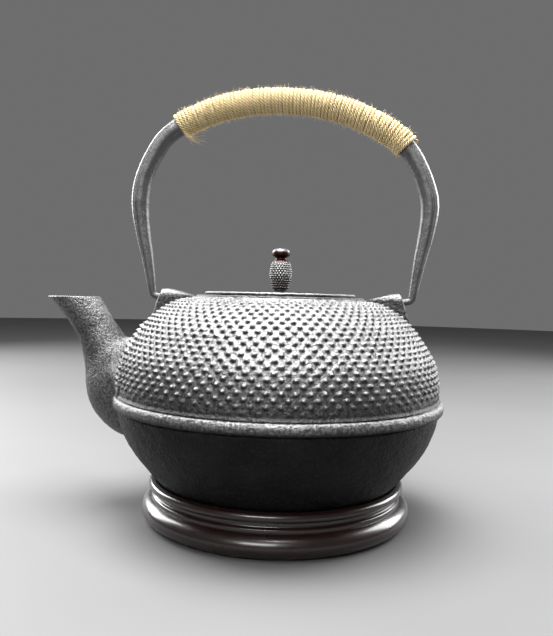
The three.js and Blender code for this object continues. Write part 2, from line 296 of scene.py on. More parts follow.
def carve(target, tools, operation):
    """Joins the tools to the target, or cuts them out of it, and drops the tools."""
    for tool in tools:
        step = target.modifiers.new("step", "BOOLEAN")
        step.operation = operation
        step.solver = "MANIFOLD"
        step.object = tool
    depsgraph = bpy.context.evaluated_depsgraph_get()
    made = bpy.data.meshes.new_from_object(target.evaluated_get(depsgraph))
    target.modifiers.clear()
    old = target.data
    target.data = made
    bpy.data.meshes.remove(old)
    for tool in tools:
        bpy.data.meshes.remove(tool.data)


def keep_largest_shell(item):
    """Removes the crumbs that booleans leave beside the main shell."""
    edges = np.empty(2 * len(item.data.edges), dtype=np.int64)
    item.data.edges.foreach_get("vertices", edges)
    first, second = edges[0::2], edges[1::2]
    shell = np.arange(len(item.data.vertices))
    while np.any(shell[first] != shell[second]):
        low = np.minimum(shell[first], shell[second])
        joined = shell.copy()
        np.minimum.at(joined, shell[first], low)
        np.minimum.at(joined, shell[second], low)
        while np.any(joined[joined] != joined):
            joined = joined[joined]
        shell = joined
    crumbs = np.nonzero(shell != np.argmax(np.bincount(shell)))[0]
    work = bmesh.new()
    work.from_mesh(item.data)
    work.verts.ensure_lookup_table()
    bmesh.ops.delete(work, geom=[work.verts[i] for i in crumbs], context="VERTS")
    work.to_mesh(item.data)
    work.free()


def sharpen(item, degrees=35):
    """Smooth shading that keeps edges steeper than the given angle crisp."""
    item.data.shade_smooth()
    item.data.set_sharp_from_angle(angle=math.radians(degrees))


def read_points(item):
    out = np.empty(len(item.data.vertices) * 3)
    item.data.vertices.foreach_get("co", out)
    return out.reshape(-1, 3) / MM


def add_attribute(item, name, values):
    layer = item.data.attributes.new(name, "FLOAT", "POINT")
    layer.data.foreach_set("value", np.asarray(values, float))


def finish_piece(item, material, body, slot, *nodes):
    """Gives the piece its material and the body it moves with, and hides the CAD nodes it replaces; slot is
    not used.
    """
    item.data.materials.clear()
    item.data.materials.append(material)
    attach(item, body)
    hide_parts(*nodes)


# ---- materials


class Shader:
    """A material's node tree, with short calls for the nodes used here."""

    def __init__(self, name, color, roughness, metallic=0.0):
        self.material = bpy.data.materials.new(name)
        self.material.use_nodes = True
        self.tree = self.material.node_tree
        self.surface = self.tree.nodes["Principled BSDF"]
        self.set({"Base Color": (*color, 1), "Roughness": roughness, "Metallic": metallic})
        self.place = self.node("TexCoord").outputs["Object"]

    def set(self, values):
        for name, value in values.items():
            self.surface.inputs[name].default_value = value

    def node(self, kind, **values):
        made = self.tree.nodes.new("ShaderNode" + kind)
        for key, value in values.items():
            setattr(made, key, value)
        return made

    def link(self, output, target):
        self.tree.links.new(output, target)

    def feed(self, slot, value):
        """Links an output to the slot, or sets it to a number or a colour."""
        if isinstance(value, tuple):
            slot.default_value = (*value, 1)
        elif isinstance(value, (int, float)):
            slot.default_value = value
        else:
            self.link(value, slot)

    def noise(self, size, detail=3.0, rough=0.55, stretch=None, source=None):
        """Noise with features of about the given size in metres."""
        made = self.node("TexNoise")
        made.inputs["Scale"].default_value = 1 / size
        made.inputs["Detail"].default_value = detail
        made.inputs["Roughness"].default_value = rough
        where = source or self.place
        if stretch:
            mapping = self.node("Mapping")
            mapping.inputs["Scale"].default_value = stretch
            self.link(where, mapping.inputs["Vector"])
            where = mapping.outputs["Vector"]
        self.link(where, made.inputs["Vector"])
        return made.outputs["Fac"]

    def attribute(self, name):
        return self.node("Attribute", attribute_name=name).outputs["Fac"]

    def ramp(self, value, *stops):
        """Maps a value to a colour through (position, grey or colour) stops."""
        made = self.node("ValToRGB")
        elements = made.color_ramp.elements
        while len(elements) < len(stops):
            elements.new(0.5)
        for element, (position, color) in zip(elements, stops):
            element.position = position
            element.color = (*color, 1) if isinstance(color, tuple) else (color, color, color, 1)
        self.link(value, made.inputs["Fac"])
        return made.outputs["Color"]

    def remap(self, value, low, high, to_low, to_high):
        made = self.node("MapRange")
        for key, number in zip(("From Min", "From Max", "To Min", "To Max"), (low, high, to_low, to_high)):
            made.inputs[key].default_value = number
        self.link(value, made.inputs["Value"])
        return made.outputs["Result"]

    def math(self, operation, a, b):
        made = self.node("Math", operation=operation)
        for slot, value in zip(made.inputs, (a, b)):
            self.feed(slot, value)
        return made.outputs["Value"]

    def mix(self, factor, a, b):
        made = self.node("Mix", data_type="RGBA")
        for slot, value in ((0, factor), (6, a), (7, b)):
            self.feed(made.inputs[slot], value)
        return made.outputs[2]

    def bump(self, *layers):
        """Layers of (height output, distance in metres, strength), each on top of the one before."""
        normal = None
        for height, distance, strength in layers:
            made = self.node("Bump")
            made.inputs["Distance"].default_value = distance
            made.inputs["Strength"].default_value = strength
            self.link(height, made.inputs["Height"])
            if normal:
                self.link(normal, made.inputs["Normal"])
            normal = made.outputs["Normal"]
        self.link(normal, self.surface.inputs["Normal"])

    def to(self, name, output):
        self.link(output, self.surface.inputs[name])


def make_cast_iron():
    shader = Shader("sand_cast_iron", (0.1, 0.1, 0.102), 0.5, 0.9)
    grain = shader.noise(0.0013, 3.0, 0.65)
    patches = shader.noise(0.018, 3.0)
    # the attribute mixes black speckled iron towards grey: rubbed wear, with painted shade and painted
    # highlights
    wear_and_painted_light = shader.attribute("wear_and_painted_light")
    dark = shader.ramp(patches, (0.3, (0.009, 0.009, 0.0095)), (0.7, (0.018, 0.018, 0.0185)))
    speckled = shader.mix(shader.remap(grain, 0.5, 0.75, 0, 0.35), dark, (0.06, 0.06, 0.06))
    grey = shader.ramp(grain, (0.34, (0.09, 0.09, 0.091)), (0.66, (0.38, 0.38, 0.38)))
    shader.to("Base Color", shader.mix(wear_and_painted_light, speckled, grey))
    rough = shader.remap(grain, 0.3, 0.7, 0.46, 0.64)
    shader.to("Roughness", shader.math("SUBTRACT", rough, shader.math("MULTIPLY", wear_and_painted_light, 0.06)))
    shader.bump((shader.noise(0.0035, 2.0), 0.0004, 0.15), (shader.noise(0.0013, 2.0, 0.7), 0.0010, 0.7))
    return shader.material


def make_bail_iron():
    shader = Shader("bail_iron", (0.09, 0.09, 0.092), 0.45, 0.9)
    grain = shader.noise(0.0008, 4.0, 0.6)
    patches = shader.noise(0.012, 3.0)
    dark = shader.ramp(patches, (0.3, (0.10, 0.10, 0.101)), (0.7, (0.15, 0.15, 0.151)))
    # the attribute lightens the bar towards pale grey: a painted sheen along the arch's outer edge
    wear_and_painted_light = shader.attribute("wear_and_painted_light")
    shader.to("Base Color", shader.mix(shader.math("MULTIPLY", wear_and_painted_light, 0.8), dark, (0.36, 0.36, 0.355)))
    shader.to("Roughness", shader.remap(grain, 0.3, 0.7, 0.44, 0.58))
    shader.bump((shader.noise(0.004, 2.0), 0.0003, 0.4), (shader.noise(0.0011, 2.0, 0.7), 0.0005, 0.45))
    return shader.material


def make_knob_iron():
    shader = Shader("knob_iron", (0.09, 0.088, 0.086), 0.42, 0.9)
    grain = shader.noise(0.0006, 4.0, 0.6)
    # brown where the knob is rusted and where shade is painted, on the neck and at the foot
    brown_and_painted_shade = shader.attribute("rust_and_painted_shade")
    grey = shader.ramp(grain, (0.3, (0.10, 0.10, 0.10)), (0.7, (0.24, 0.238, 0.235)))
    shader.to("Base Color", shader.mix(brown_and_painted_shade, grey, (0.035, 0.012, 0.009)))
    shader.to("Roughness", shader.remap(grain, 0.3, 0.7, 0.34, 0.5))
    shader.bump((grain, 0.00007, 0.45))
    return shader.material


def make_steel():
    shader = Shader("brushed_steel", (0.55, 0.55, 0.56), 0.3, 1.0)
    lines = shader.noise(0.0006, 3.0, 0.6, (1, 1, 12))
    shader.to("Base Color", shader.ramp(lines, (0.3, (0.46, 0.46, 0.47)), (0.7, (0.62, 0.62, 0.63))))
    shader.to("Roughness", shader.remap(lines, 0.3, 0.7, 0.24, 0.4))
    shader.bump((lines, 0.00003, 0.3))
    return shader.material


def make_jute():
    shader = Shader("jute", (0.56, 0.42, 0.2), 0.85)
    along = shader.node("UVMap").outputs["UV"]
    strand = shader.noise(0.35, 4.0, 0.65, (70, 9, 1), along)
    patch = shader.noise(0.006, 3.0)
    shades = (0.28, (0.38, 0.25, 0.09)), (0.5, (0.84, 0.66, 0.34)), (0.72, (0.95, 0.86, 0.62))
    fibre = shader.ramp(strand, *shades)
    patched = shader.mix(shader.remap(patch, 0.35, 0.7, 0, 0.25), fibre, (0.48, 0.38, 0.19))
    # painted shade: in the grooves between the plies the fibre colour is mixed towards dark brown
    shader.to("Base Color", shader.mix(shader.attribute("out_of_painted_groove_shade"), (0.16, 0.10, 0.035), patched))
    shader.set({"Sheen Weight": 0.35, "Sheen Roughness": 0.5, "Sheen Tint": (1.0, 0.9, 0.7, 1)})
    shader.bump((strand, 0.0003, 0.6))
    return shader.material


def make_lacquer():
    shader = Shader("lacquered_wood", (0.03, 0.012, 0.01), 0.26)
    grain = shader.noise(0.004, 5.0, 0.6, (1, 1, 14))
    tone = shader.noise(0.03, 3.0)
    wood = shader.ramp(grain, (0.35, (0.006, 0.003, 0.0028)), (0.65, (0.020, 0.007, 0.006)))
    shader.to("Base Color", shader.mix(shader.remap(tone, 0.35, 0.7, 0, 0.5), wood, (0.012, 0.005, 0.0045)))
    shader.to("Roughness", shader.remap(shader.noise(0.006, 3.0), 0.3, 0.7, 0.26, 0.36))
    shader.set({"Coat Weight": 0.4, "Coat Roughness": 0.16})
    shader.bump((grain, 0.00006, 0.12), (shader.noise(0.0025, 2.0), 0.00003, 0.12))
    return shader.material


cast_iron = make_cast_iron()
bail_iron = make_bail_iron()
knob_iron = make_knob_iron()
steel = make_steel()
jute = make_jute()
lacquer = make_lacquer()

# ---- kettle casting

CHUNK = 20000  # points measured at once, which bounds the memory used
SIDE = resample(spline(KETTLE_SIDE, power=0), 900)
SIDE_RUN = lengths(SIDE)


def side_normals(points):
    along = headings(points)
    return np.column_stack([along[:, 1], -along[:, 0]])


SIDE_NORMAL = side_normals(SIDE)


def by_chunks(measure, points):
    return np.concatenate([measure(points[low:low + CHUNK]) for low in range(0, len(points), CHUNK)])


def body_distance(points):
    """Signed distance to the kettle's plain side, without band and hobnails."""
    coarse, normal = SIDE[::6], SIDE_NORMAL[::6]

    def measure(part):
        gap = part[:, None] - coarse
        nearest = np.argmin((gap**2).sum(-1), axis=1)
        return (gap[np.arange(len(part)), nearest] * normal[nearest]).sum(-1)

    return by_chunks(measure, np.column_stack([from_axis(points), points[:, 2]]))


def spout_radius(t):
    root = (SPOUT_ROOT - SPOUT_THROAT) * np.clip(1 - t / SPOUT_THROAT_AT, 0, None) ** 1.15
    flare = np.clip((t - SPOUT_THROAT_AT) / (1 - SPOUT_THROAT_AT), 0, None)
    return SPOUT_THROAT + root + SPOUT_FLARE * flare


SPOUT_PATH = resample(spline(SPOUT_LINE), 160)
SPOUT_RADII = spout_radius(np.linspace(0, 1, len(SPOUT_PATH)))


def spout_distance(points):
    """Signed distance to the spout's outside, with its round heel."""
    def measure(part):
        return (norm(part[:, None] - SPOUT_PATH, axis=-1) - SPOUT_RADII).min(axis=1)

    bulb = norm(points - [BULB_X, 0, BULB_Z], axis=1) - BULB_RADIUS
    return smooth_min(by_chunks(measure, points), bulb, BULB_BLEND)


def joined_distance(points, side):
    """Distance to the blended casting; side 1 keeps the body outermost near the body, -1 the spout."""
    spout, body = spout_distance(points), body_distance(points)
    blend = UNDER_BLEND + (ROOT_BLEND - UNDER_BLEND) * smoothstep(58, 78, points[:, 2])
    return smooth_min(spout, body, blend) - side * (SKIN_GAP * np.clip((spout - body) / 3, -1, 1))


def lug_roof(x):
    slope = (LUG_TOP - LUG_INNER_TOP) / (LUG_TOP_X - LUG_CREST - LUG_INNER_X)
    return np.minimum(LUG_TOP, LUG_INNER_TOP + slope * (x - LUG_INNER_X))


def lug_distance(points):
    """Rough signed distance to the nearer lug."""
    x, y, z = np.abs(points[:, 0]), np.abs(points[:, 1]), points[:, 2]
    outer = x - (LUG_TOP_X + LUG_LEAN * (LUG_TOP - z))
    return np.maximum.reduce([outer, z - lug_roof(x), y - LUG_HALF_WIDTH, LUG_INNER_X - x])


def nail_heights(run, radius, turn):
    """Heights of the hobnails, by run down the shoulder and by turn; they fade out in the lowest rows."""
    row = (run - NAIL_TOP_RUN) / NAIL_ROW_PITCH
    phase = np.degrees(turn) * NAILS_ROUND / 360 - NAIL_PHASE
    spacing = np.hypot(0.5 * radius * TAU / NAILS_ROUND, NAIL_ROW_PITCH)
    size = spacing * (0.31 + 0.05 * smoothstep(60, 25, run))
    height = 0
    for parity in (0, 1):
        nearest = np.round((row - parity) / 2) * 2 + parity
        valid = (nearest >= 0) & (nearest < NAIL_ROWS)
        # the even rows sit half a pitch round
        offset = phase - 0.5 * (1 - parity)
        across = ((offset - np.round(offset)) * TAU / NAILS_ROUND)[None] * radius[:, None]
        distance = np.hypot(across, ((row - nearest) * NAIL_ROW_PITCH)[:, None]) / size[:, None]
        tall = NAIL_HEIGHT * (spacing / NAIL_FULL_SPACING) * smoothstep(23.2, 19.5, nearest) * valid
        height = np.maximum(height, tall[:, None] * np.clip(1 - distance**2, 0, 1))
    return height


def make_body_skin():
    """The kettle's outside: foot, sandy bowl, moulded band, hobnail shoulder and mouth collar."""
    upper_from = np.interp(BAND_TOP + 0.9, SIDE[:, 1], SIDE_RUN)
    lower_to = np.interp(BAND_BOTTOM - 0.6, SIDE[:, 1], SIDE_RUN)
    lower = pick(np.arange(0, lower_to, BOWL_STEP), SIDE_RUN, SIDE)
    upper_at = np.linspace(upper_from, SIDE_RUN[-1], int((SIDE_RUN[-1] - upper_from) / SHOULDER_STEP))
    from_top = SIDE_RUN[-1] - upper_at
    sink = NAIL_SINK * smoothstep(0, 1.2, from_top) * smoothstep(0, 1.5, upper_at - upper_from)
    upper = pick(upper_at, SIDE_RUN, SIDE) - pick(upper_at, SIDE_RUN, SIDE_NORMAL) * sink[:, None]
    band = resample(rounded([
        lower[-1], (82.6, BAND_BOTTOM - 0.5), (84.4, BAND_BOTTOM), (BAND_RADIUS, BAND_BOTTOM + 0.9),
        (BAND_RADIUS, BAND_TOP - 1.5), (84.3, BAND_TOP), (82.9, BAND_TOP + 0.45), upper[0],
    ], 0.7, 3), 30)
    foot = rounded([(0.0, 10.7), (36, 10.7), (38, KETTLE_BASE), (45, KETTLE_BASE), lower[2]], 1.0, 3)
    foot = np.vstack([foot[:1], resample(foot, 60)[1:-1]])
    collar = rounded([
        upper[-2], upper[-1], (44.0, 113.4), (COLLAR_RADIUS + 0.1, 114.3), (43.0, COLLAR_TOP),
        (40, COLLAR_TOP),
    ], 0.25, 3)
    bowl, shoulder = lower[3:-1], upper[:-2]
    profile = np.vstack([foot, bowl, band[:-1], shoulder, collar, [(0, COLLAR_TOP)]])
    columns = NAILS_ROUND * COLUMNS_PER_NAIL
    vertices, faces = revolve(profile, columns)

    rows = len(profile) - 2
    grid = vertices[:rows * columns]
    turn = np.arctan2(grid[:, 1], grid[:, 0])
    first = len(foot) - 1 + len(bowl) + len(band) - 1
    height = np.zeros((rows, columns))
    nails = nail_heights(from_top[:-2], shoulder[:, 0], turn[:columns])
    height[first:first + len(shoulder)] = nails
    near = (grid[:, 0] < -45) & (np.abs(grid[:, 1]) < 50) & (grid[:, 2] > 20)
    spout_near = np.full(len(grid), 99.0)
    spout_near[near] = spout_distance(grid[near])
    clear = smoothstep(3.5, 8.0, spout_near) * smoothstep(0.2, 1.6, lug_distance(grid))
    height = height.ravel() * clear
    tangent = np.gradient(profile[1:-1], axis=0)
    tangent /= norm(tangent, axis=1, keepdims=True) + 1e-9
    normal_r, normal_z = np.repeat(tangent[:, 1], columns), np.repeat(-tangent[:, 0], columns)
    outward = np.column_stack([normal_r * np.cos(turn), normal_r * np.sin(turn), normal_z])

    # the root's fillet: the skin rises to the blended surface
    reach = near & (spout_near < ROOT_BLEND + 6) & (spout_near > -12)
    moved = np.zeros(reach.sum())
    for _ in range(14):
        gap = joined_distance(grid[reach] + outward[reach] * moved[:, None], 1)
        moved = np.clip(moved - 0.9 * gap, 0, 5.5)
    rise = np.zeros(len(grid))
    rise[reach] = moved * smoothstep(-3.0, 0.5, spout_near[reach])
    sandy = 0.12 * noise3(grid, 1.1) + 0.16 * noise3(grid, 4.3)
    sandy *= np.where(grid[:, 2] > 20, 1, 0.3) * (1 - 0.6 * smoothstep(0.1, 0.5, height))
    placed = grid + outward * (height + rise + sandy)[:, None]
    return make_closed("kettle_casting", np.vstack([placed, vertices[rows * columns:]]), faces)


def make_spout_solid(shrink, rings, sides):
    """The spout's outside, blended into the body, or with shrink its channel."""
    run = lengths(SPOUT_PATH)
    end = np.interp(SPOUT_MOUTH_Z, SPOUT_PATH[:, 2], run)
    at = np.linspace(1.5 if shrink else -SPOUT_BURIED, end, rings)
    backwards = SPOUT_PATH[0] - SPOUT_PATH[1]
    backwards /= norm(backwards)
    centre = pick(at, run, SPOUT_PATH) + backwards * np.clip(-at, 0, None)[:, None]
    along = headings(centre)
    level = smoothstep(0.5, 1.0, at / end)[:, None]
    across = np.column_stack([along[:, 2], np.zeros(rings), -along[:, 0]])
    across = unit(across * (1 - level) + level * [1.0, 0, 0])
    angle = (np.arange(sides) * TAU / sides)[None, :, None]
    ray = (across[:, None] * np.cos(angle) + np.sin(angle) * [0, 1.0, 0]).reshape(-1, 3)
    start = np.repeat(centre, sides, axis=0)
    reach = np.full(len(start), 3.0)
    limit = np.repeat(np.interp(at, run, SPOUT_RADII) * 1.35 + 9 * smoothstep(40, 5, at), sides)
    for _ in range(40):
        where = start + ray * reach[:, None]
        gap = (spout_distance(where) + shrink) if shrink else joined_distance(where, -1)
        reach = np.clip(reach - 0.8 * gap, 1.0, limit)
    vertices = start + ray * reach[:, None]
    if shrink:
        vertices = vertices.reshape(rings, sides, 3)
        extra = [vertices[-1] + [0, 0, 4]]
    else:
        vertices += ray * (0.09 * noise3(vertices, 1.1) + 0.12 * noise3(vertices, 4.3))[:, None]
        vertices = vertices.reshape(rings, sides, 3)
        vertices[-1, :, 2] = SPOUT_MOUTH_Z - 0.5
        middle = vertices[-1].mean(axis=0)
        extra = []
        for lift, scale in ((0.15, 0.985), (0.4, 0.965), (0.5, 0.93)):
            ring = middle + (vertices[-1] - middle) * scale
            ring[:, 2] = SPOUT_MOUTH_Z - 0.5 + lift
            extra.append(ring)
    vertices = np.concatenate([vertices, extra])
    return make_closed("spout_solid", vertices.reshape(-1, 3), capped_faces(len(vertices), sides))


def make_lug_solid(side):
    """A wedge with a round-cornered face; side is 1 for +X and -1 for -X."""
    bottom, soft, tip = LUG_TOP - 15, 0.7, LUG_INNER_X + 0.3
    half, turn = LUG_HALF_WIDTH, LUG_ROUND
    arc = np.linspace(0, math.pi / 2, 9)
    right = np.column_stack([half - turn + turn * np.cos(arc), LUG_TOP - turn + turn * np.sin(arc)])
    outline = np.vstack([[(half, bottom)], right, right[::-1] * [-1, 1], [(-half, bottom)]])
    y, z = resample(outline, 90).T
    outer = LUG_TOP_X + LUG_LEAN * (LUG_TOP - z)
    rings = []
    for t in np.linspace(0, 1, 26):
        x = tip + (outer - LUG_INNER_X - 0.3) * t
        from_face = np.minimum((1 - t) * (outer - LUG_INNER_X), soft)
        dip = soft - np.sqrt(np.maximum(soft**2 - (soft - from_face) ** 2, 0))
        high = bottom + (np.minimum(z, lug_roof(x)) - bottom) * (1 - dip / (LUG_TOP - bottom))
        rings.append(np.column_stack([x, y * (1 - dip / half), high]))
    vertices = np.vstack(rings) * [side, 1, 1]
    vertices += 0.06 * noise3(vertices, 1.2)[:, None] * [0, 1, 1]
    return make_closed("lug_solid", vertices, capped_faces(len(rings), len(y)))


def make_cavity():
    points = resample(SIDE, 70)
    inner = points - side_normals(points) * KETTLE_WALL
    profile = np.vstack([
        [(0, inner[0, 1])], inner, [(LEDGE_RADIUS, inner[-1, 1] - 0.8)],
        [(LEDGE_RADIUS, LEDGE_Z), (MOUTH_RADIUS, LEDGE_Z), (MOUTH_RADIUS, COLLAR_TOP - 0.7)],
        [(MOUTH_RADIUS + 0.2, COLLAR_TOP - 0.2), (MOUTH_RADIUS + 0.7, COLLAR_TOP)],
        [(MOUTH_RADIUS + 0.9, COLLAR_TOP + 2), (0, COLLAR_TOP + 2)],
    ])
    return make_closed("cavity", *revolve(profile, 168))


def make_bore(side):
    points = [(0, 0), (LUG_BORE_RADIUS, 0), (LUG_BORE_RADIUS, 3.5), (LUG_BORE_RADIUS, 20), (0, 20)]
    vertices, faces = revolve(points, 40)
    x, y, z = vertices.T
    return make_closed("bore", np.column_stack([side * (z + LUG_BORE_END), y, x + HINGE_Z]), faces)


def casting_grey_and_painted_light(points, upward):
    """How grey each point of the casting is, 0 black sandy iron and 1 grey: rubbed hobnail tips, greyer above
    the band and towards the mouth, painted shade on the hobnails' undersides and on the mouth collar, and
    painted highlights on the band and the lug crests.
    """
    plain = body_distance(points)
    high = points[:, 2]
    # the hobnail tips are rubbed grey, and the ground between them is greyer towards the mouth
    tips = smoothstep(-0.6, 0.2, plain)
    ground = 0.42 + 0.40 * smoothstep(72, 92, high)
    facing = upward - np.interp(high, SIDE[:, 1], SIDE_NORMAL[:, 1])
    # painted shade: each hobnail's underside, which faces further down than the plain side around it, is
    # darkened nearly to black
    painted_underside_shade = smoothstep(-0.14, -0.50, facing) * (plain > -1.4) * (high < 113)
    wear_and_painted_light = (ground + (1 - ground) * tips) * (1 - 0.8 * painted_underside_shade)
    # below the band the casting stays black
    wear_and_painted_light *= smoothstep(BAND_TOP - 4, BAND_TOP + 13, high) * (plain > -2)
    near = (points[:, 0] < -60) & (plain > -2.5)
    on_spout = np.zeros(len(points))
    on_spout[near] = smoothstep(2.0, 0.3, spout_distance(points[near]))
    # the spout is mid grey, darker at mid-height and lighter towards its mouth
    spout_grey = 0.42 - 0.10 * smoothstep(66, 80, high) + 0.16 * smoothstep(92, 108, high)
    wear_and_painted_light = wear_and_painted_light * (1 - on_spout) + on_spout * spout_grey
    rim = from_axis(points)
    # painted shade: the mouth collar under the lid's edge is held darker than the shoulder
    wear_and_painted_light = np.where((high > 113.2) & (rim < 45.4), 0.3, wear_and_painted_light)
    # rubbed wear and a painted highlight: the band's outer face is lighter towards its top
    edge = smoothstep(BAND_BOTTOM - 0.5, BAND_TOP - 0.5, high) * (high < BAND_TOP + 0.6)
    wear_and_painted_light = np.maximum(wear_and_painted_light, 0.75 * edge * (rim > 83.2) * (rim < 85.4) * (points[:, 0] > -78))
    # the lugs' faces are dark and their crests light: rubbed wear and a painted highlight
    lug = (lug_distance(points) < 0.4) & (high > 100)
    return np.where(lug, 0.25 + 0.7 * smoothstep(LUG_TOP - 4.5, LUG_TOP - 1.2, high), wear_and_painted_light)


def make_kettle():
    casting = make_body_skin()
    carve(casting, [make_spout_solid(0, 150, 132), make_lug_solid(1), make_lug_solid(-1)], "UNION")
    hollows = [make_cavity(), make_spout_solid(SPOUT_WALL, 50, 64), make_bore(1), make_bore(-1)]
    carve(casting, hollows, "DIFFERENCE")
    keep_largest_shell(casting)
    sharpen(casting, 42)
    points = read_points(casting)
    normals = np.empty(3 * len(points))
    casting.data.vertices.foreach_get("normal", normals)
    add_attribute(casting, "wear_and_painted_light", casting_grey_and_painted_light(points, normals[2::3]))
    nodes = ("kettle_bowl", "kettle_shoulder", "kettle_spout", "lug_far", "lug_spout_side")
    finish_piece(casting, cast_iron, "kettle", "cast_iron", *nodes)


# ---- lid, knob and fixing


def turned_piece(name, profile, columns, roughen=0.0, degrees=35):
    vertices, faces = revolve(profile, columns)
    if roughen:
        rim = from_axis(vertices)
        lift = roughen * noise3(vertices, 1.1) + roughen * noise3(vertices, 4.0)
        vertices[:, 2] += lift * smoothstep(3, 6, rim)
    return make_closed(name, vertices, faces, degrees)


def make_lid():
    top = np.linspace(LID_RADIUS - 1.6, 4.5, 70)
    rise = (1 - (top / (LID_RADIUS - 0.8)) ** 2) * (LID_CROWN - LID_EDGE_TOP)
    step = 0.25 * smoothstep(33.2, 32.4, top) * smoothstep(29.6, 30.6, top)
    crown = np.column_stack([top, LID_EDGE_TOP + rise - step])
    edge = rounded([
        (STUD_HOLE, LID_CROWN), (STUD_HOLE, LID_PLATE_UNDERSIDE), (SPIGOT_INNER, LID_PLATE_UNDERSIDE),
        (SPIGOT_INNER + 0.4, SPIGOT_BOTTOM), (SPIGOT_OUTER, SPIGOT_BOTTOM), (SPIGOT_OUTER, LID_UNDERSIDE),
        (LID_RADIUS - 0.4, LID_UNDERSIDE), (LID_RADIUS, LID_UNDERSIDE + 0.6),
        (LID_RADIUS, LID_EDGE_TOP - 0.5), (LID_RADIUS - 0.8, LID_EDGE_TOP + 0.02), crown[0],
    ], 0.5, 3)
    item = turned_piece("lid_plate", np.vstack([edge[:-1], crown]), 220, 0.05)
    vent, faces = revolve([(0, 100), (VENT_RADIUS, 100), (VENT_RADIUS, 125), (0, 125)], 32)
    carve(item, [make_closed("drill", vent + [VENT_X, 0, 0], faces)], "DIFFERENCE")
    sharpen(item)
    points = read_points(item)
    rim = from_axis(points)
    # the lid's rim is lighter: rubbed edge and a painted highlight on its chamfer
    add_attribute(item, "wear_and_painted_light", smoothstep(LID_RADIUS - 1.2, LID_RADIUS - 0.2, rim))
    finish_piece(item, cast_iron, "lid", "cast_iron", "lid")


def make_knob():
    side = resample(spline([
        (4.0, 0.4), (4.2, 2.2), (5.45, 8.0), (5.15, 12.0), (4.2, 15.4), (3.0, 16.9), (2.95, 17.5),
    ]), 110)
    cap = rounded([
        (2.95, 17.5), (3.4, 17.9), (4.5, 18.5), (4.75, 19.5), (4.65, 20.9),
        (3.7, 22.1), (2.0, 22.55), (0, 22.6),
    ], 0.8, 4)
    stud = [(0, 110.2), (1.9, 110.2), (1.9, KNOB_BASE), (4.0, KNOB_BASE), side[0] + [0, KNOB_BASE]]
    above = np.vstack([side, resample(cap, 34)[1:]]) + [0, KNOB_BASE]
    vertices, faces = revolve(np.vstack([rounded(stud, 0.15, 2)[:-1], above]), 192)
    high = vertices[:, 2] - KNOB_BASE
    turn = np.arctan2(vertices[:, 1], vertices[:, 0])
    rim = from_axis(vertices)
    row = (high - 1.8) / BEAD_ROW_PITCH
    bead = np.zeros(len(vertices))
    for parity in (0, 1):
        nearest = np.round((row - parity) / 2) * 2 + parity
        phase = turn / TAU * BEADS_ROUND + 0.5 * parity
        across = (phase - np.round(phase)) * TAU / BEADS_ROUND * rim
        distance = np.hypot(across, (row - nearest) * BEAD_ROW_PITCH) / (0.80 + 0.14 * noise3(vertices, 1.7))
        shape = np.clip(1 - distance**2, 0, 1) * ((nearest >= 0) & (nearest < BEAD_ROWS))
        bead = np.maximum(bead, shape)
    lift = 0.5 * bead * smoothstep(1.0, 2.0, high) * smoothstep(15.8, 14.8, high)
    lift += 0.04 * noise3(vertices, 0.8) * (high > 0)
    outward = np.column_stack([np.cos(turn), np.sin(turn), np.zeros(len(turn))])
    item = make_closed("knob_casting", vertices + outward * (lift * (rim > 1e-3))[:, None], faces, 50)
    high = read_points(item)[:, 2] - KNOB_BASE
    # the neck under the cap is brown, partly rust and partly painted shade, and the foot is darkened towards
    # the lid as painted shade
    brown_and_painted_shade = smoothstep(14.9, 15.8, high) * smoothstep(20.9, 20.2, high)
    add_attribute(item, "rust_and_painted_shade", np.maximum(brown_and_painted_shade, 0.5 * smoothstep(8.0, 2.5, high)))
    finish_piece(item, knob_iron, "lid", "knob_iron", "lid_knob")


def make_fixing():
    top = LID_PLATE_UNDERSIDE - 0.3
    washer = turned_piece("stud_washer", rounded([
        (STUD_HOLE, top - 0.4), (STUD_HOLE, top - 0.9), (5.2, top - 0.9), (5.2, top), (STUD_HOLE, top),
        (STUD_HOLE, top - 0.3),
    ], 0.2, 3), 64)
    finish_piece(washer, steel, "lid", "steel", "knob_washer")

    high = top - 1.2
    columns = 72
    angle = np.arange(columns) * TAU / columns
    sixth = math.pi / 6
    hexagon = NUT_CORNER * math.cos(sixth) / np.cos((angle + sixth) % (math.pi / 3) - sixth)

    def ring(radius, z):
        return np.column_stack([radius * np.cos(angle), radius * np.sin(angle), np.full(columns, high + z)])

    chamfers = (-NUT_HEIGHT, 3.4), (-1.72, 3.9), (-1.0, 3.95), (-0.28, 3.9), (0.0, 3.4)
    rings = [ring(np.minimum(hexagon, limit), z) for z, limit in chamfers]
    for k, z in enumerate(np.linspace(0, -NUT_HEIGHT, THREAD_RINGS)):
        inside = 0 < k < THREAD_RINGS - 1
        rings.append(ring(STUD_HOLE - THREAD_DEPTH * (k % 2) if inside else STUD_HOLE + 0.1, z))
    nut = make_closed("stud_nut", np.vstack(rings), looped_faces(len(rings), columns), 28)
    finish_piece(nut, steel, "lid", "steel", "knob_nut")


# ---- infuser


def make_infuser():
    inner, low, high = INFUSER_RADIUS + 0.3, FLANGE_BOTTOM, FLANGE_BOTTOM + FLANGE_THICKNESS
    rim = turned_piece("infuser_flange", rounded([
        (inner, low + 0.4), (inner, low), (FLANGE_OUTER, low), (FLANGE_OUTER, high), (inner, high),
        (inner, low + 0.5),
    ], 0.3, 3), 160)
    finish_piece(rim, steel, "infuser", "steel", "infuser_rim")
    make_perforated_sleeve()
    make_perforated_floor()


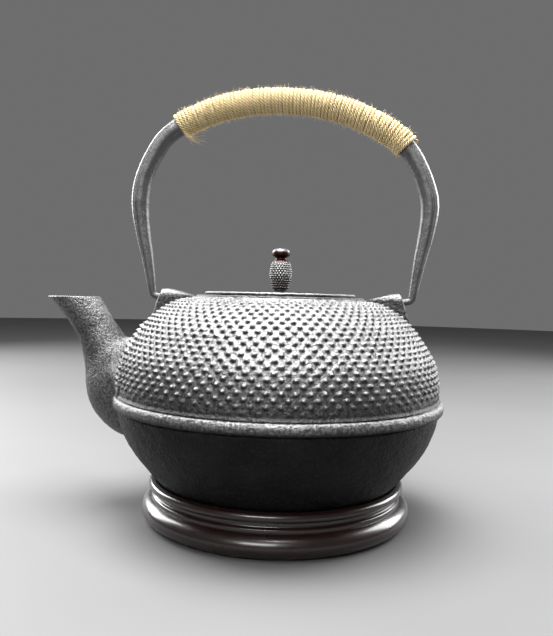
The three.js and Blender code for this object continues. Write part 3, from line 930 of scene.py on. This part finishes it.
def make_perforated_sleeve():
    """A thin cylinder with staggered eight-sided holes, each joined to eight points of its square cell."""
    columns, rows = 72, 16
    bottom, top = INFUSER_BOTTOM, FLANGE_BOTTOM + FLANGE_THICKNESS
    margin_low, margin_high = 3.0, 8.0
    cell_high = (top - bottom - margin_low - margin_high) / rows
    cell_wide = TAU * INFUSER_RADIUS / columns
    vertices, faces, index = [], [], {}

    def corner(u, v, layer):
        key = (round(u % columns, 3), round(v, 3), layer)
        if key not in index:
            index[key] = len(vertices)
            radius = INFUSER_RADIUS - (INFUSER_WALL if layer else 0)
            angle = u * TAU / columns
            vertices.append((radius * math.cos(angle), radius * math.sin(angle), v))
        return index[key]

    def patch(*corners):
        """Part of the sheet, outside and inside."""
        faces.append([corner(u, v, 0) for u, v in corners])
        faces.append([corner(u, v, 1) for u, v in corners][::-1])

    def edge(a, b):
        """The sheet's thickness along one of its edges."""
        faces.append([corner(*a, 0), corner(*b, 0), corner(*b, 1), corner(*a, 1)])

    square = [(-0.5, -0.5), (0, -0.5), (0.5, -0.5), (0.5, 0), (0.5, 0.5), (0, 0.5), (-0.5, 0.5), (-0.5, 0)]
    for row in range(rows):
        middle_v = bottom + margin_low + (row + 0.5) * cell_high
        for column in range(columns):
            middle_u = column + 0.5 * (row % 2)
            outer, inner = [], []
            for du, dv in square:
                angle = math.atan2(dv * cell_high, du * cell_wide)
                outer.append((middle_u + du, middle_v + dv * cell_high))
                hole_u = middle_u + HOLE_RADIUS * math.cos(angle) / cell_wide
                inner.append((hole_u, middle_v + HOLE_RADIUS * math.sin(angle)))
            for k in range(len(square)):
                n = (k + 1) % len(square)
                patch(outer[k], outer[n], inner[n], inner[k])
                edge(inner[k], inner[n])
    halves = [(column / 2, (column + 1) / 2) for column in range(columns * 2)]
    for low, high in ((bottom, bottom + margin_low), (bottom + margin_low + rows * cell_high, top)):
        for u0, u1 in halves:
            patch((u0, low), (u1, low), (u1, high), (u0, high))
    for level in (bottom, top):
        for u0, u1 in halves:
            edge((u0, level), (u1, level))
    item = make_closed("infuser_wall", vertices, faces, 40)
    finish_piece(item, steel, "infuser", "steel", "infuser_sleeve")


def make_perforated_floor():
    """A flat disc with round holes: triangles of its outline's inside that lie in none of the holes."""
    radius, bottom, thickness, pitch = 31.6, INFUSER_BOTTOM + 0.6, 0.8, 3.0
    points, loops = [], []

    def circle(x, y, size, count):
        loops.append(list(range(len(points), len(points) + count)))
        for k in range(count):
            points.append((x + size * math.cos(k * TAU / count), y + size * math.sin(k * TAU / count)))

    circle(0, 0, radius, 120)
    reach = int(radius / pitch) + 2
    for row in range(-reach, reach + 1):
        for column in range(-reach, reach + 1):
            x = (column + 0.5 * (row % 2)) * pitch
            y = row * pitch * math.sqrt(3) / 2
            if math.hypot(x, y) < radius - 2.5:
                circle(x, y, HOLE_RADIUS, 8)
    found = delaunay_2d_cdt([Vector(p) for p in points], [], loops, 2, 1e-5)
    flat, triangles, origins = found[0], found[2], found[5]
    kept = [tri for tri, source in zip(triangles, origins) if set(source) == {0}]
    count = len(flat)
    vertices = [(p.x, p.y, z) for z in (bottom, bottom + thickness) for p in flat]
    faces = [tuple(t)[::-1] for t in kept] + [tuple(i + count for i in t) for t in kept]
    edges = [(a, b) for tri in kept for a, b in zip(tri, tri[1:] + tri[:1])]
    paired = set(edges)
    faces += [(a, b, b + count, a + count) for a, b in edges if (b, a) not in paired]
    item = make_closed("infuser_base", vertices, faces, 40)
    finish_piece(item, steel, "infuser", "steel", "infuser_floor")


# ---- bail handle


def bail_line():
    def place(point, side):
        x, z = point
        return (side * x, 0, z - side * x * (BAIL_TILT if z > BAIL_WIDEST else 0))
    left = [place(p, -1) for p in BAIL_ARM]
    right = [place(p, 1) for p in BAIL_ARM][::-1]
    return resample(spline([*left, (0, 0, BAIL_APEX), *right], 80), 3001)


BAIL_PATH = bail_line()


def path_frames(path):
    along = headings(path)
    return along, np.column_stack([-along[:, 2], np.zeros(len(path)), along[:, 0]])


def make_bail():
    """The bar: round at its hooks, then grooved along its front and back near the outer and inner edges."""
    path = resample(BAIL_PATH, 560)
    outward = path_frames(path)[1]
    rise = np.clip((path[:, 2] - HINGE_Z) / (BAIL_WIDEST - HINGE_Z), 0, 1)
    base = HOOK_RADIUS + (BAIL_RADIUS - HOOK_RADIUS) * rise**0.85
    sides = 60
    angle = np.arange(sides) * TAU / sides
    # angle 0 is the outer edge of the arch, a quarter turn is the front or back
    groove_at, inner_at = math.radians(62), math.radians(128)
    groove = bell(angle, groove_at, 0.17) + bell(angle, TAU - groove_at, 0.17)
    inner = bell(angle, inner_at, 0.14) + bell(angle, TAU - inner_at, 0.14)
    depth = smoothstep(0.04, 0.16, rise)[:, None]
    radii = base[:, None] * (1 - depth * (0.15 * groove + 0.07 * inner))
    vertices, faces = tube(path, outward, np.tile([0, -1.0, 0], (len(path), 1)), radii, sides)
    rough = 0.05 * noise3(vertices, 1.0) + 0.07 * noise3(vertices, 4.0)
    vertices += unit(vertices - np.repeat(path, sides, axis=0)) * rough[:, None]
    item = make_closed("bail_bar", vertices, faces, 50)
    # painted sheen: the arch's outer edge is lighter, fading out towards the hooks
    add_attribute(item, "wear_and_painted_light", (depth * bell(angle, 0, 0.95)).ravel())
    finish_piece(item, bail_iron, "bail", "bail_iron", "bail_handle")


def make_cord():
    """A three-ply cord wound tightly round the grip, with loose fibres and a frayed tail."""
    run = lengths(BAIL_PATH)
    middle = len(BAIL_PATH) // 2
    top = slice(middle - 1100, middle + 1100)
    start, end = np.interp([CORD_START_X, CORD_END_X], BAIL_PATH[top, 0], run[top])
    along_all, outward_all = path_frames(BAIL_PATH)
    steps = CORD_TURNS * 60
    share = np.linspace(0, 1, steps)
    at = start + CORD_RADIUS + (end - start - 2 * CORD_RADIUS) * share
    turn = share * CORD_TURNS * TAU
    wander = 0.10 * np.sin(turn * 0.37) + 0.07 * np.sin(turn * 0.113 + 1)
    radius = BAIL_RADIUS + CORD_RADIUS + 0.12 + 0.08 * np.sin(turn * 0.61)
    outward = unit(pick(at, run, outward_all))
    ray = outward * np.cos(turn)[:, None] + np.sin(turn)[:, None] * [0, -1.0, 0]
    along = pick(at, run, along_all)
    centre = pick(at, run, BAIL_PATH) + ray * radius[:, None] + along * wander[:, None]
    cord_run = lengths(centre)
    tangent = headings(centre)
    side = unit(np.cross(tangent, ray))
    up = np.cross(side, tangent)
    vertices, faces, uvs, out_of_groove_shade = [], [], [], []
    sides = 7
    count = 0
    for ply in range(3):
        spin = ply * TAU / 3 - cord_run * TAU / CORD_TWIST
        line = centre + (up * np.cos(spin)[:, None] + side * np.sin(spin)[:, None]) * PLY_OFFSET
        uneven = noise3(np.stack([cord_run, np.full(steps, 9.0 * ply), np.zeros(steps)], 1), 2.5)
        v, f = tube(line, up, side, PLY_RADIUS * (1 + 0.10 * uneven), sides, count)
        vertices.append(v)
        # painted shade: the plies darken towards the cord's middle, in the grooves between them
        from_centre = norm(v - np.repeat(centre, sides, axis=0), axis=1)
        out_of_groove_shade.append(smoothstep(0.62, 0.98, from_centre))
        faces += f
        count += len(v)
        around = (np.arange(sides) / sides)[None] + ply * 3.1
        uvs.append(np.stack(np.broadcast_arrays(cord_run[:, None] * MM * 10, around), -1).reshape(-1, 2))
    hairs, hair_faces, hair_uv = make_fibres(centre, tangent, ray, side, count)
    item = make_object("grip_winding", np.vstack([*vertices, hairs]), faces + hair_faces)
    layer = item.data.uv_layers.new(name="UVMap")
    corners = np.empty(len(item.data.loops), int)
    item.data.loops.foreach_get("vertex_index", corners)
    layer.data.foreach_set("uv", np.vstack([*uvs, hair_uv])[corners].ravel())
    add_attribute(item, "out_of_painted_groove_shade", np.concatenate([*out_of_groove_shade, np.ones(len(hairs))]))
    finish_piece(item, jute, "bail", "jute", "grip_cord")


def make_fibres(centre, tangent, ray, side, start):
    """Fine hairs that stand off the cord, and a frayed tail at its first turn."""
    random = np.random.RandomState(11)
    vertices, faces, uvs = [], [], []
    pieces = 5

    def hair(root, first, second, length, thick):
        nonlocal start
        t = np.linspace(0, 1, pieces)[:, None]
        line = root + first * length * t + second * length * t**2
        heading = headings(line)
        flat = unit(np.cross(heading, [0.31, 0.62, 0.72]))
        v, f = tube(line, flat, np.cross(heading, flat), thick * (1.05 - 0.8 * t[:, 0]), 3, start)
        vertices.append(v)
        faces.extend(f)
        uvs.append(np.repeat(np.stack([t[:, 0] * 0.1, np.full(pieces, random.rand() * 20)], 1), 3, axis=0))
        start += len(v)

    for _ in range(2400):
        k = random.randint(60, len(centre) - 60)
        lean = random.uniform(-0.9, 0.9)
        root = centre[k] + ray[k] * 0.85 + side[k] * random.uniform(-0.7, 0.7)
        way = 1 if random.rand() < 0.5 else -1
        first = tangent[k] * way + ray[k] * random.uniform(0.02, 0.28) + side[k] * lean * 0.5
        second = ray[k] * random.uniform(-0.25, 0.12) + side[k] * random.uniform(-0.4, 0.4)
        hair(root, first, second, random.uniform(1.5, 4.8), random.uniform(0.04, 0.08))
    for k in range(20, 54):
        root = centre[k] + ray[k] * 0.3
        down = np.array([random.uniform(0.1, 0.8), random.uniform(-0.5, 0.1), random.uniform(-0.9, -0.4)])
        curl = np.array([random.uniform(0.2, 0.7), random.uniform(-0.2, 0.2), random.uniform(-0.2, 0.5)])
        hair(root, down, curl, random.uniform(4.5, 9.5), random.uniform(0.10, 0.18))
    return np.vstack(vertices), faces, np.vstack(uvs)


# ---- wooden stand


def make_stand():
    def arc(x, z, reach, high, degrees, count):
        turn = np.linspace(-math.pi / 2, math.radians(degrees), count)
        return np.column_stack([x + reach * np.cos(turn), z + high * np.sin(turn)])

    torus = arc(STAND_TORUS_X, STAND_TORUS_Z, STAND_TORUS_REACH, STAND_TORUS_Z, 72, 40)
    bead = arc(STAND_BEAD_X, STAND_BEAD_Z, STAND_BEAD_RADIUS, STAND_BEAD_RADIUS, 90, 24)
    t = np.linspace(0, 1, 20)[:, None]
    rim, bend, seat = np.array([62.6, STAND_TOP]), np.array([57.6, 12.7]), np.array([48, STAND_RECESS_Z])
    hollow = (1 - t) ** 2 * rim + 2 * t * (1 - t) * bend + t * t * seat
    fillet = rounded([torus[-1], (64.6, 12.0), (64.6, 12.9), (63.1, 13.7), (63, 15.8), bead[0]], 0.5, 3)
    lip = [bead[-1], (64.2, STAND_TOP - 0.15), (63.6, STAND_TOP), (62.9, STAND_TOP), hollow[1]]
    outline = np.vstack([
        [(0, 0)], resample([(1, 0), (62.0, 0)], 20), torus, fillet[1:-1], bead, rounded(lip, 0.3, 3)[1:-1],
        hollow[1:], resample([(47.5, STAND_RECESS_Z), (1, STAND_RECESS_Z)], 20), [(0, STAND_RECESS_Z)],
    ])
    item = turned_piece("turned_stand", outline, 256, 0.0, 40)
    finish_piece(item, lacquer, "stand", "stand_wood", "stand")


# ---- studio


def make_studio():
    vertices, faces = revolve([(0, -40.0), (2600, -40.0), (2600, 0.0), (0, 0.0)], 96)
    vertices[:, 2] -= 0.05
    floor = make_closed("floor", vertices, faces, 35)
    shader = Shader("studio_floor", (0.18, 0.18, 0.18), 0.7)
    shader.to("Base Color", shader.ramp(shader.noise(0.3, 4.0), (0.3, 0.105), (0.7, 0.12)))
    floor.data.materials.append(shader.material)

    world = bpy.data.worlds.new("studio")
    world.use_nodes = True
    background = world.node_tree.nodes["Background"].inputs
    background["Color"].default_value = (0.62, 0.62, 0.63, 1)
    background["Strength"].default_value = 0.25
    bpy.context.scene.world = world

    def area(name, location, target, size, power):
        light = bpy.data.lights.new(name, "AREA")
        light.shape = "RECTANGLE"
        light.size, light.size_y = size
        light.energy = power
        item = add_object(name, light)
        item.location = location
        item.rotation_euler = (Vector(target) - Vector(location)).to_track_quat("-Z", "Y").to_euler()

    area("top_light", (-0.04, -0.06, 0.82), (0, 0, 0.1), (0.6, 0.5), 27.0)
    area("left_light", (-0.78, 0.52, 0.52), (0, 0, 0.08), (0.55, 0.65), 16.0)
    area("right_light", (0.78, 0.52, 0.52), (0, 0, 0.08), (0.55, 0.65), 14.0)
    area("front_light", (-0.15, -0.95, 0.70), (0, 0, 0.08), (0.5, 0.3), 7.0)


def make_camera():
    """The camera stands in front at the height of the mouth and looks a little down and to the left."""
    heading, pitch, roll = math.radians(5.174), 0.03278, 0.02448
    level = Vector((math.cos(heading), math.sin(heading), 0))
    flat = math.cos(pitch)
    ahead = Vector((-math.sin(heading) * flat, math.cos(heading) * flat, -math.sin(pitch)))
    upright = level.cross(ahead)
    right = level * math.cos(roll) + upright * math.sin(roll)
    up = upright * math.cos(roll) - level * math.sin(roll)
    lens = bpy.data.cameras.new("camera")
    lens.sensor_width = 36
    lens.lens = 37.03
    lens.clip_start = 0.01
    camera = add_object("camera", lens)
    turn = Matrix((right, up, -ahead)).transposed().to_4x4()
    camera.matrix_world = Matrix.Translation((0.02947, -0.34374, 0.11437)) @ turn
    bpy.context.scene.camera = camera


bpy.context.scene.view_settings.view_transform = "Standard"
make_camera()
make_studio()
make_stand()
make_kettle()
make_lid()
make_knob()
make_fixing()
make_infuser()
make_bail()
make_cord()
